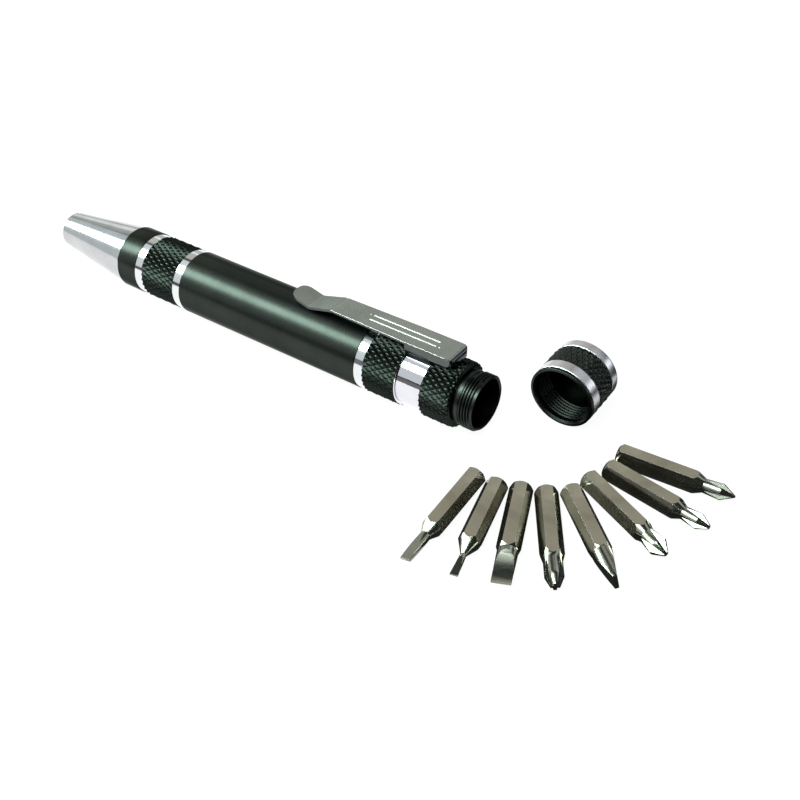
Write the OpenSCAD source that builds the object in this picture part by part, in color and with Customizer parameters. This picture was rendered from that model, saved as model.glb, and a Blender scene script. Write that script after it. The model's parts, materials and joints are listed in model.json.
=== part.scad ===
// Pocket screwdriver in the form of a pen: a knurled barrel that stores its bits, a spring clip,
// a screw cap that lies beside it, and eight hexagonal bits laid out in a fan.
// The origin is the middle of the storage bore's mouth. +X runs along the pen, out of the mouth.

/* [Barrel] */
// Outer diameter of the barrel
barrel_d = 14; // [13.6:0.1:15]
// Length of the plain collar behind the nose
collar_len = 5.2; // [3:0.1:8]
// Length of the knurled grip behind the collar
grip_len = 9.2; // [7:0.1:14]
// Length of the long plain tube
tube_len = 47.7; // [46:0.1:60]
// Length of the knurl in front of the clip
mid_knurl_len = 7.9; // [7:0.1:10]
// Length of the knurl behind the clip, with its rounded end
tail_knurl_len = 6.95; // [5.9:0.05:8.5]
// Width of each bright cut ring
ring_w = 2.2; // [1:0.1:3]
// Depth of the bright cut rings
ring_recess = 0.15; // [0.05:0.05:0.3]
// Depth of the narrow bevel along the edges of barrel, nose and cap
edge_bevel = 0.2; // [0.1:0.05:0.3]

/* [Storage bore and neck] */
// Diameter of the storage bore
bore_d = 10.3; // [10:0.1:10.5]
// Depth of the storage bore from its mouth
bore_depth = 76; // [72:0.5:80]
// Depth of the bevel round the mouth of the bore
mouth_bevel = 0.3; // [0.1:0.05:0.4]
// Length of the neck that the cap screws onto
neck_len = 4.65; // [4:0.05:6]
// Outer diameter over the thread
thread_d = 11.9; // [11.7:0.1:12.1]
// Length of the smooth undercut between the knurl and the thread
undercut_len = 1.5; // [0.8:0.1:2]
// Depth of the undercut below the thread
undercut_depth = 0.25; // [0.05:0.05:0.3]
// Radius of the rounded end of the knurl beside the neck
knurl_round = 0.9; // [0.4:0.05:1]

/* [Nose] */
// Length of the nose that shows
nose_len = 21.2; // [18:0.1:26]
// Diameter of the nose where it meets the collar
nose_base_d = 13.7; // [12:0.1:13.8]
// Diameter of the nose at its tip
nose_tip_d = 8; // [7:0.1:9]
// Radius of the rounded tip edge
nose_round = 0.6; // [0.3:0.1:0.8]
// Diameter of the tenon that is pressed into the barrel
tenon_d = 9; // [7:0.1:9.6]
// Depth of the hexagonal socket
socket_depth = 13; // [10:0.5:16]
// Gap between a bit and the wall of the socket
socket_gap = 0.05; // [0.03:0.01:0.1]
// Length of the magnet at the bottom of the socket
magnet_len = 3; // [1.5:0.5:4]

/* [Clip] */
// Thickness of the sheet that the clip is pressed from
sheet_t = 0.55; // [0.45:0.05:0.65]
// Width of the strap over the band
strap_w = 6.3; // [5.4:0.1:7]
// Width of the strap at its hook
hook_w = 5; // [4.4:0.1:5.3]
// Height of the strap's upper face over the pen's axis
strap_h = 9.6; // [9.4:0.1:11]
// Length of the flat strap, from its rear end to the bend above the hook
strap_len = 29.8; // [24:0.1:36]
// Length of the stretch that slopes down to the barrel
slope_len = 6; // [5:0.1:8]
// Length of the lip in front of the line where the hook comes nearest the barrel
lip_len = 5; // [4:0.1:7]
// Rise of the lip towards its front end
lip_rise = 1.5; // [0.8:0.1:2]
// Gap between the hook and the barrel
hook_gap = 0.3; // [0.2:0.05:0.5]
// Depth of the turned-down rear end, from the strap's upper face
rear_drop = 1.9; // [1.6:0.1:2]
// Distance by which the strap runs on behind the groove
strap_overhang = 5.3; // [4:0.1:7]
// Width of the groove that holds the band
groove_w = 6; // [5:0.1:7]
// Diameter of the groove
groove_d = 11.4; // [11.3:0.05:11.6]
// Gap between the band and the floor of the groove
band_gap = 0.05; // [0.02:0.01:0.1]
// Gap between the band and each wall of the groove
band_side_gap = 0.08; // [0.05:0.01:0.3]
// Turn of the clip about the pen, away from straight up
clip_turn = -5; // [-20:1:20]

/* [Cap] */
// Length of the cap
cap_len = 10.6; // [9:0.1:12]
// Depth of the cap's threaded hole
cap_hole_depth = 7.6; // [6.1:0.1:8]
// Gap between the cap's hole and the thread
cap_gap = 0.05; // [0.02:0.01:0.1]
// Bevel round the mouth of the cap's hole
cap_bevel = 0.4; // [0.2:0.05:0.5]
// Width of the bright band at the cap's mouth, with its edge
cap_band_w = 3.1; // [1.5:0.1:3.3]
// Width of the bright band at the cap's closed end
cap_end_w = 2.3; // [1:0.1:2.6]
// Distance from the pen's axis to the mouth of the cap as it lies
cap_away = 9.2; // [8.5:0.05:14]
// Distance from the mouth of the bore to the axis of the cap as it lies
cap_beyond = 11.33; // [10.9:0.01:11.6]

/* [Bits] */
// Width of the hexagonal shank across its flats
bit_af = 4; // [3.9:0.05:4.1]
// Length of the shank up to its shoulder
shank_len = 15.2; // [13:0.1:15.6]
// Bevel of the shank's rear end
shank_bevel = 0.7; // [0.3:0.05:0.9]
// Length of the medium slotted bit
medium_slot_len = 24.7; // [23:0.1:26]
// Width of its blade
medium_slot_w = 2.2; // [1.8:0.1:2.5]
// Length of the fine slotted bit
fine_slot_len = 23.8; // [22:0.1:25]
// Width of its blade
fine_slot_w = 1.6; // [1.2:0.1:1.8]
// Length of the wide slotted bit
wide_slot_len = 23.5; // [22:0.1:25]
// Width of its blade
wide_slot_w = 3.7; // [3:0.1:4]
// Length of the heavy slotted bit
heavy_slot_len = 23.2; // [22:0.1:25]
// Width of its blade
heavy_slot_w = 3.8; // [3:0.1:4]
// Length of the large cross bit
large_cross_len = 23.1; // [22:0.1:25]
// Length of the medium cross bit
medium_cross_len = 22.7; // [22:0.1:25]
// Length of the small cross bit
small_cross_len = 22.9; // [22:0.1:25]
// Length of the pointed cross bit
pointed_cross_len = 23.4; // [22:0.1:25]
// Radius of the fan on which the rear ends of the bits lie
fan_r = 16.2; // [16:0.1:18]
// Distance from the mouth of the bore to the middle of the fan
fan_beyond = 10; // [10:0.1:12]
// Distance from the pen's axis to the middle of the fan
fan_aside = 4; // [3:0.1:4.5]

/* [Hidden] */
$fn = 96;
eps = 0.01;
overrun = 1;
arc_steps = 6;

// Radii and stations of the barrel, from the mouth back to the nose
barrel_r = barrel_d / 2;
ring_r = barrel_r - ring_recess;
thread_r = thread_d / 2;
bore_r = bore_d / 2;
tenon_r = tenon_d / 2;
groove_r = groove_d / 2;
table_z = -barrel_r;
neck_x = -neck_len;
groove_rear_x = neck_x - tail_knurl_len;
groove_front_x = groove_rear_x - groove_w;
rear_ring_x = groove_front_x - mid_knurl_len;
grip_ring_x = rear_ring_x - ring_w - tube_len;
nose_ring_x = grip_ring_x - ring_w - grip_len;
barrel_front_x = nose_ring_x - ring_w - collar_len;
tip_x = barrel_front_x - nose_len;
cap_hole_r = thread_r + cap_gap;
cap_end_round = 0.5;
cap_recess = 0.05;

// Hexagonal socket and its lead-in
socket_af = bit_af + 2 * socket_gap;
socket_end_x = tip_x + socket_depth;
lead_in = 0.4;

// Roundings of the bent clip
contact_round = 2;
bend_round = 4;
rear_round = 0.8;
lip_round = 2;
lobe_round = 1.2;
lobe_gap = 0.6;

// Cheeks of the clip: how far they drop straight down, and how far apart they stand at the band
cheek_drop = 1.7;
foot_spread = 3.9;
foot_inset = 0.1;

// Shoulders, necks and edges of the bits
rim_play = 0.1;
medium_shoulder = 2.8;
medium_neck_r = 1.1;
medium_edge = 0.5;
fine_shoulder = 3.6;
fine_neck_r = 0.6;
fine_edge = 0.35;
stout_shoulder = 1;
stout_neck_r = 1.95;
wide_neck_len = 0.8;
wide_edge = 0.7;
heavy_edge = 0.8;
cross_shoulder = 2.2;
large_cross_r = 1.8;
medium_cross_waist_r = 1.55;
medium_cross_r = 1.9;
small_cross_waist_r = 1.3;
small_cross_r = 1.55;
pointed_cross_waist_r = 1.4;
pointed_cross_r = 1.6;
large_cross_back = 2.3;
large_cross_end_r = 0.9;
medium_cross_back = 2.2;
medium_cross_end_r = 0.5;
small_cross_back = 2.2;
small_cross_end_r = 0.4;
pointed_cross_back = 2.6;
pointed_cross_end_r = 0.2;
flute_core_r = 0.42;

// Turn of each tip about its own axis, away from a blade or flute that faces straight up
medium_slot_turn = 15;
fine_slot_turn = 0;
wide_slot_turn = 0;
heavy_slot_turn = 100;
large_cross_turn = 0;
medium_cross_turn = 27;
small_cross_turn = 37;
pointed_cross_turn = 42;

// Where each bit lies: angle round the fan, distance as a share of fan_r, and its own heading
medium_slot_share = [-102.9, 1.077, -88.2];
fine_slot_share = [-87.6, 1.041, -76.7];
wide_slot_share = [-71.7, 0.992, -67.4];
large_cross_share = [-55.6, 1.019, -55.2];
heavy_slot_share = [-40.2, 1.052, -40];
medium_cross_share = [-25, 0.971, -23.2];
small_cross_share = [-8.8, 1.003, -8.2];
pointed_cross_share = [7.5, 0.999, 3.7];

// Corner radius of a hexagon
function corner_r(af) = af / 2 / cos(30);

// Points of an arc about a middle point
function arc(mid, r, from, to) =
    [for (i = [0 : arc_steps])
        let (a = from + (to - from) * i / arc_steps)
        mid + r * [cos(a), sin(a)]];

// One corner of an outline, replaced by an arc of the given radius
function rounded_corner(before, corner, after, r) =
    let (u = (before - corner) / norm(before - corner),
         v = (after - corner) / norm(after - corner),
         half = acos(u * v) / 2,
         middle = corner + (u + v) / norm(u + v) * r / sin(half),
         start = corner + u * r / tan(half),
         end = corner + v * r / tan(half),
         from = atan2(start[1] - middle[1], start[0] - middle[0]),
         turn = atan2(end[1] - middle[1], end[0] - middle[0]) - from,
         sweep = turn > 180 ? turn - 360 : turn < -180 ? turn + 360 : turn)
    arc(middle, r, from, from + sweep);

// A closed outline with its corners rounded, where the radius isn't zero
function rounded_outline(pts, radii) =
    let (n = len(pts))
    [for (i = [0 : n - 1])
        each radii[i] == 0 ? [pts[i]]
            : rounded_corner(pts[(i + n - 1) % n], pts[i], pts[(i + 1) % n], radii[i])];

// Direction square to a path at one of its points
function path_normal(path, i) =
    let (a = path[max(i - 1, 0)], b = path[min(i + 1, len(path) - 1)], d = (b - a) / norm(b - a))
    [-d[1], d[0]];

// A strip of even thickness along an open path
function strip(path, t) =
    concat([for (i = [0 : len(path) - 1]) path[i] + path_normal(path, i) * t / 2],
           [for (i = [len(path) - 1 : -1 : 0]) path[i] - path_normal(path, i) * t / 2]);

// A recessed ring of the barrel's outline, from its rear edge to its front edge
function ring_cut(rear_x) =
    [[barrel_r, rear_x], [ring_r, rear_x], [ring_r, rear_x - ring_w], [barrel_r, rear_x - ring_w]];

// What is turned about Z comes to lie along X
module along_x() rotate([0, 90, 0]) children();

module barrel() {
    outline = concat(
        [[0, 0], [thread_r - mouth_bevel, 0], [thread_r, -mouth_bevel],
         [thread_r, neck_x + undercut_len], [thread_r - undercut_depth, neck_x + undercut_len],
         [thread_r - undercut_depth, neck_x]],
        arc([barrel_r - knurl_round, neck_x - knurl_round], knurl_round, 90, 0),
        [[barrel_r, groove_rear_x], [groove_r, groove_rear_x],
         [groove_r, groove_front_x], [barrel_r, groove_front_x]],
        ring_cut(rear_ring_x),
        ring_cut(grip_ring_x),
        ring_cut(nose_ring_x),
        [[barrel_r, barrel_front_x + edge_bevel], [barrel_r - edge_bevel, barrel_front_x],
         [0, barrel_front_x]]);
    color([0.2, 0.25, 0.22])
    along_x()
    difference() {
        rotate_extrude() polygon(outline);
        translate([0, 0, -bore_depth]) cylinder(r = bore_r, h = bore_depth + overrun);
        translate([0, 0, -mouth_bevel])
            cylinder(r1 = bore_r, r2 = bore_r + mouth_bevel + eps, h = mouth_bevel + eps);
        translate([0, 0, barrel_front_x - overrun])
            cylinder(r = tenon_r, h = -bore_depth - barrel_front_x + 2 * overrun);
    }
}

module nose_cone() {
    base_r = nose_base_d / 2;
    tip_r = nose_tip_d / 2;
    outline = rounded_outline(
        [[0, -bore_depth], [tenon_r, -bore_depth], [tenon_r, barrel_front_x], [base_r, barrel_front_x],
         [tip_r, tip_x], [0, tip_x]],
        [0, 0, 0, edge_bevel, nose_round, 0]);
    color([0.85, 0.86, 0.87])
    along_x()
    difference() {
        rotate_extrude() polygon(outline);
        translate([0, 0, tip_x - overrun])
            rotate(30) cylinder(r = corner_r(socket_af), h = socket_depth + overrun, $fn = 6);
        translate([0, 0, tip_x - eps])
            cylinder(r1 = corner_r(socket_af) + lead_in, r2 = socket_af / 2, h = 2 * lead_in);
        translate([0, 0, socket_end_x - eps]) cylinder(r = socket_af / 2, h = magnet_len + eps);
    }
}

module bit_magnet() {
    color([0.6, 0.6, 0.62])
    along_x()
    translate([0, 0, socket_end_x]) cylinder(r = bit_af / 2, h = magnet_len);
}

// The sheet seen from the side: lip, hook, slope, strap and turned-down rear end
module clip_side(rear_x, bend_x, contact_x, lip_x) {
    strap_mid_h = strap_h - sheet_t / 2;
    contact_h = barrel_r + hook_gap + sheet_t / 2;
    lip = [lip_x - sheet_t, contact_h + lip_rise];
    contact = [contact_x, contact_h];
    bend = [bend_x, strap_mid_h];
    rear = [rear_x - sheet_t / 2, strap_mid_h];
    foot = [rear_x - sheet_t / 2, strap_h - rear_drop];
    path = concat([lip],
                  rounded_corner(lip, contact, bend, contact_round),
                  rounded_corner(contact, bend, rear, bend_round),
                  rounded_corner(bend, rear, foot, rear_round),
                  [foot]);
    polygon(strip(path, sheet_t));
}

// A cheek and its lobe seen from the side: the cheek ends at its knee, and the lobe hangs behind the band
module cheek_side(front_x, band_end_x, rear_x, knee_h) {
    top_h = strap_h - sheet_t / 2;
    lobe_h = barrel_r + lobe_gap;
    end_r = min(lobe_round, top_h - lobe_h - eps);
    polygon(rounded_outline(
        [[front_x, top_h], [front_x, knee_h], [band_end_x, knee_h], [band_end_x, lobe_h],
         [rear_x, lobe_h], [rear_x, top_h]],
        [0, 0, 0, 0, end_r, 0]));
}

// The foot of a cheek seen along the pen: it leans in from the knee to the band
module foot_section(band_r, foot_y, knee_h) {
    edge_y = strap_w / 2;
    outer_y = foot_y + sheet_t;
    inner_y = foot_y + foot_inset;
    mid_r = band_r + sheet_t / 2;
    polygon([[edge_y, knee_h],
             [outer_y, sqrt(mid_r * mid_r - outer_y * outer_y)],
             [inner_y, sqrt(mid_r * mid_r - inner_y * inner_y)],
             [edge_y - sheet_t, knee_h],
             [edge_y - sheet_t / 2, knee_h + sheet_t / 2]]);
}

module pocket_clip() {
    rear_x = groove_rear_x + strap_overhang;
    bend_x = rear_x - strap_len;
    contact_x = bend_x - slope_len;
    lip_x = contact_x - lip_len;
    plan = rounded_outline(
        [[lip_x, -hook_w / 2], [groove_front_x, -strap_w / 2], [rear_x + eps, -strap_w / 2],
         [rear_x + eps, strap_w / 2], [groove_front_x, strap_w / 2], [lip_x, hook_w / 2]],
        [lip_round, 0, lobe_round, lobe_round, 0, lip_round]);
    band_r = groove_r + band_gap;
    band_front_x = groove_front_x + band_side_gap;
    band_rear_x = groove_rear_x - band_side_gap;
    foot_y = foot_spread / 2;
    knee_h = strap_h - cheek_drop;
    color([0.62, 0.64, 0.66])
    rotate([clip_turn, 0, 0]) {
        intersection() {
            rotate([90, 0, 0]) linear_extrude(height = strap_w + overrun, center = true)
                clip_side(rear_x, bend_x, contact_x, lip_x);
            linear_extrude(height = strap_h + overrun) polygon(plan);
        }
        for (side = [0, 1]) mirror([0, side, 0]) {
            translate([0, strap_w / 2 - sheet_t / 2, 0])
                rotate([90, 0, 0]) linear_extrude(height = sheet_t, center = true)
                cheek_side(band_front_x, band_rear_x - sheet_t / 2, rear_x - sheet_t, knee_h);
            translate([band_front_x, 0, 0])
                rotate([90, 0, 90]) linear_extrude(height = band_rear_x - band_front_x)
                foot_section(band_r, foot_y, knee_h);
        }
        along_x()
        difference() {
            translate([0, 0, band_front_x]) cylinder(r = band_r + sheet_t, h = band_rear_x - band_front_x);
            translate([0, 0, band_front_x - overrun])
                cylinder(r = band_r, h = band_rear_x - band_front_x + 2 * overrun);
            translate([-barrel_r, -foot_y, band_front_x - overrun])
                cube([barrel_r, 2 * foot_y, band_rear_x - band_front_x + 2 * overrun]);
        }
    }
}

module cap() {
    band_r = barrel_r - cap_recess;
    outline = concat(
        [[0, cap_hole_depth], [cap_hole_r, cap_hole_depth], [cap_hole_r, cap_bevel],
         [cap_hole_r + cap_bevel, 0], [band_r - edge_bevel, 0], [band_r, edge_bevel],
         [band_r, cap_band_w], [barrel_r, cap_band_w],
         [barrel_r, cap_len - cap_end_w], [band_r, cap_len - cap_end_w]],
        arc([band_r - cap_end_round, cap_len - cap_end_round], cap_end_round, 0, 90),
        [[0, cap_len]]);
    color([0.2, 0.25, 0.22])
    translate([cap_beyond, cap_away, 0])
    rotate([-90, 0, 0])
    rotate_extrude() polygon(outline);
}

// A bit stands on its rear end along Z until it is laid down: its place in the fan and its heading
module lay_bit(place_share) {
    reach = fan_r * place_share[1];
    color([0.66, 0.64, 0.58])
    translate([fan_beyond + reach * cos(place_share[0]), fan_aside + reach * sin(place_share[0]),
               table_z + bit_af / 2])
    rotate([0, 0, place_share[2]])
    along_x()
    children();
}

// Blank of a bit: a hexagonal bar turned to a bevelled rear end, a shoulder, a neck and a tip
module turned_blank(shoulder, tip_outline) {
    rim_r = corner_r(bit_af) + rim_play;
    length = tip_outline[len(tip_outline) - 1][1];
    intersection() {
        rotate(30) cylinder(r = corner_r(bit_af), h = length + overrun, $fn = 6);
        rotate_extrude()
            polygon(concat([[0, 0], [rim_r - shank_bevel, 0], [rim_r, shank_bevel], [rim_r, shank_len]],
                           tip_outline, [[0, length]]));
    }
}

// Slotted bit with a plain wedge: the blade is wide across Y before it is turned
module wedge_bit(length, width, edge, shoulder, neck_r, blade_turn) {
    start = shank_len + shoulder;
    reach = corner_r(bit_af);
    difference() {
        turned_blank(shoulder, [[neck_r, start], [width / 2, length]]);
        for (side = [0, 180])
            rotate(blade_turn + side)
            rotate([90, 0, 0]) linear_extrude(height = 2 * reach, center = true)
                polygon([[neck_r + rim_play, start], [edge / 2, length], [edge / 2, length + overrun],
                         [neck_r + reach, length + overrun], [neck_r + reach, start]]);
    }
}

// Slotted bit whose two faces are ground hollow by a wheel that ends square at the edge
module hollow_ground_bit(length, width, edge, shoulder, neck_r, neck_len, blade_turn) {
    start = shank_len + shoulder;
    depth = neck_r + rim_play - edge / 2;
    run = length - start - neck_len;
    wheel_r = (run * run + depth * depth) / (2 * depth);
    difference() {
        turned_blank(shoulder, [[neck_r, start], [neck_r, start + neck_len], [width / 2, length]]);
        for (side = [0, 180])
            rotate(blade_turn + side)
            translate([wheel_r + edge / 2, 0, length])
            rotate([90, 0, 0]) cylinder(r = wheel_r, h = 2 * corner_r(bit_af), center = true);
    }
}

// Cross bit: a waisted blank with four flutes that run out before the shoulder
module cross_bit(length, waist_r, wing_r, wing_back, end_r, wing_turn) {
    start = shank_len + cross_shoulder;
    run = length - start;
    tilt = atan((waist_r + rim_play - flute_core_r) / run);
    flute_len = run / cos(tilt);
    reach = 2 * wing_r;
    difference() {
        turned_blank(cross_shoulder, [[waist_r, start], [wing_r, length - wing_back], [end_r, length]]);
        for (quarter = [0 : 3])
            rotate(wing_turn + 90 * quarter + 45)
            translate([flute_core_r, 0, length])
            rotate([0, -tilt, 0])
            translate([0, 0, -flute_len]) linear_extrude(height = flute_len + overrun)
                polygon([[0, 0], [reach, -reach], [reach, reach]]);
    }
}

module slotted_bit_medium()
    lay_bit(medium_slot_share)
    wedge_bit(medium_slot_len, medium_slot_w, medium_edge, medium_shoulder, medium_neck_r,
              medium_slot_turn);

module slotted_bit_fine()
    lay_bit(fine_slot_share)
    wedge_bit(fine_slot_len, fine_slot_w, fine_edge, fine_shoulder, fine_neck_r, fine_slot_turn);

module slotted_bit_wide()
    lay_bit(wide_slot_share)
    hollow_ground_bit(wide_slot_len, wide_slot_w, wide_edge, stout_shoulder, stout_neck_r,
                      wide_neck_len, wide_slot_turn);

module slotted_bit_heavy()
    lay_bit(heavy_slot_share)
    wedge_bit(heavy_slot_len, heavy_slot_w, heavy_edge, stout_shoulder, stout_neck_r,
              heavy_slot_turn);

module cross_bit_large()
    lay_bit(large_cross_share)
    cross_bit(large_cross_len, large_cross_r, large_cross_r, large_cross_back, large_cross_end_r,
              large_cross_turn);

module cross_bit_medium()
    lay_bit(medium_cross_share)
    cross_bit(medium_cross_len, medium_cross_waist_r, medium_cross_r, medium_cross_back, medium_cross_end_r,
              medium_cross_turn);

module cross_bit_small()
    lay_bit(small_cross_share)
    cross_bit(small_cross_len, small_cross_waist_r, small_cross_r, small_cross_back, small_cross_end_r,
              small_cross_turn);

module cross_bit_pointed()
    lay_bit(pointed_cross_share)
    cross_bit(pointed_cross_len, pointed_cross_waist_r, pointed_cross_r, pointed_cross_back,
              pointed_cross_end_r, pointed_cross_turn);

barrel();
nose_cone();
bit_magnet();
pocket_clip();
cap();
slotted_bit_medium();
slotted_bit_fine();
slotted_bit_wide();
slotted_bit_heavy();
cross_bit_large();
cross_bit_medium();
cross_bit_small();
cross_bit_pointed();
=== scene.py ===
"""A pen-shaped pocket screwdriver with its cap off and its bits laid out, dressed for one photograph."""
from __future__ import annotations

import json
import logging
import math
from collections.abc import Callable, Iterator, Sequence
from contextlib import contextmanager
from dataclasses import dataclass
from enum import Enum
from typing import Any, ClassVar

import bmesh
import bpy
from mathutils import Matrix, Vector

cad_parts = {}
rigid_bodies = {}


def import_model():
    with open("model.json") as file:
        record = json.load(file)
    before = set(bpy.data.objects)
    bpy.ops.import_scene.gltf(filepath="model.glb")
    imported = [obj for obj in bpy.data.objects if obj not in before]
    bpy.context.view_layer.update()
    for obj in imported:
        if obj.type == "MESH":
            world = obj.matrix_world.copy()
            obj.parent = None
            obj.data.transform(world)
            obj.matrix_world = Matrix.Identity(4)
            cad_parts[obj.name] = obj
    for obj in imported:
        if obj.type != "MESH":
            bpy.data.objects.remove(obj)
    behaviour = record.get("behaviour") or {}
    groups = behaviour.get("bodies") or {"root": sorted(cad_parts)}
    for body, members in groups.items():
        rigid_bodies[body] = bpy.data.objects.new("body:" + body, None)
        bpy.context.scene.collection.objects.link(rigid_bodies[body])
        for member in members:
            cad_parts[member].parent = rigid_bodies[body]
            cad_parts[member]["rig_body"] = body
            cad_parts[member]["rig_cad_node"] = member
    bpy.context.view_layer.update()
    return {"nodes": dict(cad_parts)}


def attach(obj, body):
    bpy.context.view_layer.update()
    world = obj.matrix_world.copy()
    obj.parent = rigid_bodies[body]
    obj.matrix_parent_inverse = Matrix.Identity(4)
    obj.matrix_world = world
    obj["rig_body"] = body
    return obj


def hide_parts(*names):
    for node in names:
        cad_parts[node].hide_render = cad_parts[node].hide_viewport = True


LOG = logging.getLogger("pocket_screwdriver")
MM = 0.001

# Distance under which two points of a piece in millimetres are one
WELD = 0.001
# Depth of a grain line or speck as a share of its width
GRAIN_DEPTH = 0.25
# Widest angle between neighbouring faces of a solid that are one flat face, in degrees
FLAT_ANGLE = 0.6
# Length of a diamond on the middle, tail and cap knurls, in millimetres
FINE_PITCH = 2.07
# Widest angles that are shaded as one surface, in degrees: knurls look rolled and threads rounded
KNURL_SMOOTH = 60.0
THREAD_SMOOTH = 40.0
# Width of the patches in which a finish drifts in tone, in millimetres
PATCH_MM = 5.5556
# Noise values between which the grain and the patches go from one end to the other
GRAIN_SPAN = (0.3, 0.7)
PATCH_SPAN = (0.35, 0.7)
# The Mix node's colour sockets, by number because its other sockets have the same names
MIX_FIRST, MIX_SECOND, MIX_RESULT = 6, 7, 2

Point = tuple[float, float]
Triple = tuple[float, float, float]


def linear(hex_colour: str) -> tuple[float, float, float, float]:
    """Turns an sRGB value into a linear one.

    Args:
        hex_colour: the value in hex, such as '#8a8f88'.

    Returns:
        Linear red, green and blue, and an alpha of one.
    """
    channels = [int(hex_colour[i : i + 2], 16) / 255 for i in (1, 3, 5)]
    red, green, blue = (c / 12.92 if c <= 0.04045 else ((c + 0.055) / 1.055) ** 2.4 for c in channels)
    return red, green, blue, 1.0


def add_node(tree: bpy.types.NodeTree, kind: str, settings: dict[str, Any] | None = None,
             links: dict[str, bpy.types.NodeSocket] | None = None) -> bpy.types.Node:
    """Adds one node.

    Args:
        tree: the node tree that gets it.
        kind: the node's type name.
        settings: properties of the node, or values of its input sockets.
        links: input socket names and the output sockets that feed them.

    Returns:
        The new node.
    """
    node = tree.nodes.new(kind)
    for key, value in (settings or {}).items():
        if hasattr(node, key):
            setattr(node, key, value)
        else:
            node.inputs[key].default_value = value
    for key, socket in (links or {}).items():
        tree.links.new(socket, node.inputs[key])
    return node


class Grain(Enum):
    """How a metal surface was made: each value gives the stretch of its grain along X, Y and Z."""

    TURNED = (1.0, 0.02, 0.02)
    DRAWN = (0.03, 1.0, 1.0)
    BLASTED = (1.0, 1.0, 1.0)
    CROSS_GROUND = (1.0, 0.06, 0.06)


@dataclass(frozen=True)
class Place:
    """Where a piece's own X axis lies: an origin in millimetres and a turn about Z in degrees."""

    origin: Triple = (0.0, 0.0, 0.0)
    turn: float = 0.0

    def matrix(self) -> Matrix:
        """Returns the move from the piece's own axes to the part's, in millimetres."""
        return Matrix.Translation(self.origin) @ Matrix.Rotation(math.radians(self.turn), 4, "Z")


@dataclass(frozen=True)
class Metal:
    """A metal finish.

    Attributes:
        name: the finish in a maker's words.
        colour: sRGB hex value of the bare surface.
        tint: sRGB hex value that the colour drifts towards in patches.
        roughness: lowest and highest roughness over the surface.
        grain: how the surface was made.
        grain_mm: width of one grain line or speck, in millimetres.
        bump: strength of the grain's relief.
        edge_tint: sRGB hex value of what the surface keeps of a grazing reflection.
    """

    name: str
    colour: str
    tint: str
    roughness: tuple[float, float]
    grain: Grain
    grain_mm: float
    bump: float
    edge_tint: str = "#ffffff"

    def material(self, place: Place = Place()) -> bpy.types.Material:
        """Builds the material.

        Args:
            place: where the piece's own axis lies, so that the grain follows it.

        Returns:
            A node-based material.
        """
        made = bpy.data.materials.new(self.name)
        made.use_nodes = True
        tree = made.node_tree
        shader = tree.nodes["Principled BSDF"]
        shader.inputs["Metallic"].default_value = 1.0
        shader.inputs["Specular Tint"].default_value = linear(self.edge_tint)
        coords = add_node(tree, "ShaderNodeTexCoord")
        own = add_node(tree, "ShaderNodeMapping", {
            "vector_type": "TEXTURE", "Location": [v * MM for v in place.origin],
            "Rotation": (0.0, 0.0, math.radians(place.turn))}, {"Vector": coords.outputs["Object"]})
        stretch = add_node(tree, "ShaderNodeMapping",
                           {"Scale": [s / (self.grain_mm * MM) for s in self.grain.value]},
                           {"Vector": own.outputs["Vector"]})
        grain = add_node(tree, "ShaderNodeTexNoise", {"Scale": 1.0, "Detail": 2.0, "Roughness": 0.6},
                         {"Vector": stretch.outputs["Vector"]})
        patches = add_node(tree, "ShaderNodeTexNoise",
                           {"Scale": 1 / (PATCH_MM * MM), "Detail": 3.0, "Roughness": 0.55},
                           {"Vector": own.outputs["Vector"]})
        share = add_node(tree, "ShaderNodeMapRange", {"From Min": PATCH_SPAN[0], "From Max": PATCH_SPAN[1]},
                         {"Value": patches.outputs["Fac"]})
        blend = add_node(tree, "ShaderNodeMix", {"data_type": "RGBA"}, {"Factor": share.outputs["Result"]})
        blend.inputs[MIX_FIRST].default_value = linear(self.colour)
        blend.inputs[MIX_SECOND].default_value = linear(self.tint)
        low, high = self.roughness
        rough = add_node(tree, "ShaderNodeMapRange",
                         {"From Min": GRAIN_SPAN[0], "From Max": GRAIN_SPAN[1],
                          "To Min": low, "To Max": high},
                         {"Value": grain.outputs["Fac"]})
        relief = add_node(tree, "ShaderNodeBump",
                          {"Strength": self.bump, "Distance": self.grain_mm * MM * GRAIN_DEPTH},
                          {"Height": grain.outputs["Fac"]})
        tree.links.new(blend.outputs[MIX_RESULT], shader.inputs["Base Color"])
        tree.links.new(rough.outputs["Result"], shader.inputs["Roughness"])
        tree.links.new(relief.outputs["Normal"], shader.inputs["Normal"])
        return made


# Dyed anodising over turned aluminium: near black, with a broad soft highlight and faint rings round it
ANODISED = Metal("satin_anodised_aluminium", "#3b3f3c", "#353936", (0.27, 0.32), Grain.TURNED, 0.12, 0.1,
                 "#b4b6b4")
# The same dye on the pressed flanks of the knurl's grooves, darker as painted shade in the grooves
KNURL_GROOVE = Metal("painted_shade_knurl_flank", "#2b302d", "#252a27", (0.3, 0.38), Grain.BLASTED, 0.3, 0.1,
                     "#b0b3b1")
# The same dye on the rolled crests of the knurl, lighter as a painted highlight on the crests
KNURL_CREST = Metal("painted_highlight_knurl_crest", "#4b534e", "#404743", (0.16, 0.22), Grain.BLASTED, 0.3, 0.06,
                    "#8c918e")
# The flanks of the cap's knurl: the same dye, lighter than on the barrel as painted light
CAP_GROOVE = Metal("painted_light_cap_knurl_flank", "#4c504d", "#424643", (0.3, 0.38), Grain.BLASTED, 0.3, 0.1,
                   "#b0b3b1")
# The crests of the cap's knurl, lighter still as painted light and a painted highlight
CAP_CREST = Metal("painted_light_cap_knurl_crest", "#747a76", "#666c68", (0.18, 0.24), Grain.BLASTED, 0.3, 0.06,
                  "#8c918e")
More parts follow.
